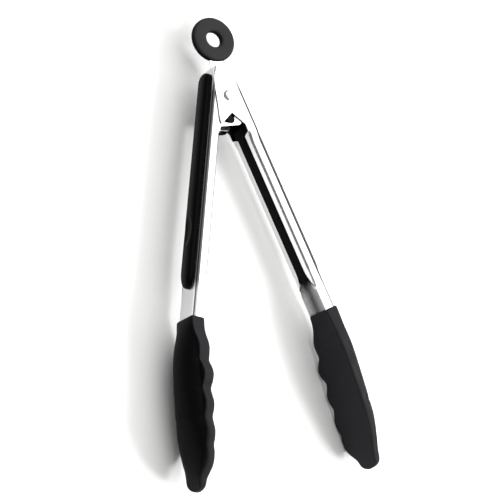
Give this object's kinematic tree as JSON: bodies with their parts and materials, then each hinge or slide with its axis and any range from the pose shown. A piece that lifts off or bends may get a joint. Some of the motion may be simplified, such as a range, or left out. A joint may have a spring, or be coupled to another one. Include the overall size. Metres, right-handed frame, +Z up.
{
  "type": "kitchen tongs",
  "caption": "Spring loaded kitchen tongs with steel arms, black soft grips, scalloped black silicone heads, and a black ring on a strip that is pulled to lock them shut",
  "frame": {"origin": "on the surface that the tongs lie on, under the middle of their length and width", "axes": "+Z up along the pivot, +Y from the heads towards the pull ring along the middle line, the arms open to -X and +X"},
  "size_m": [0.1166, 0.2636, 0.0334],
  "materials": {
    "steel": "polished stainless sheet with a faint grain along the arm",
    "spring_wire": "drawn spring wire",
    "dark_pin": "black pin, satin",
    "ring_rubber": "satin black moulded ring",
    "grip_rubber": "soft satin black grip",
    "nylon": "black nylon",
    "silicone": "matte black silicone, fine moulded texture"
  },
  "bodies": {
    "pivot": {"pivot_rivet": "steel", "torsion_spring": "spring_wire"},
    "right": {"right_arm": "steel", "right_grip_pad": "grip_rubber", "right_grip_liner": "grip_rubber", "right_head_core": "nylon", "right_head_silicone": "silicone"},
    "left": {"left_arm": "steel", "left_grip_pad": "grip_rubber", "left_grip_liner": "grip_rubber", "left_head_core": "nylon", "left_head_silicone": "silicone"},
    "lock": {"lock_strip": "steel", "lock_cross_pin": "dark_pin", "pull_ring": "ring_rubber"}
  },
  "joints": [
    {"name": "right_arm_close", "type": "hinge", "parent": "pivot", "child": "right", "pos_m": [0, 0.08155, 0.0167], "axis": [0, 0, -1], "range_deg": [0, 14], "stiffness_Nm_per_rad": 0.6, "springref_deg": -20.05, "deforming": ["torsion_spring"]},
    {"name": "left_arm_close", "type": "hinge", "parent": "pivot", "child": "left", "pos_m": [0, 0.08155, 0.0167], "axis": [0, 0, -1], "range_deg": [-14, 0]},
    {"name": "ring_pull", "type": "slide", "parent": "pivot", "child": "lock", "axis": [0.061, 0.9981, 0], "range_m": [0, 0.005]}
  ],
  "couplings": [
    {"joint": "left_arm_close", "follows": "right_arm_close", "ratio": -1}
  ]
}
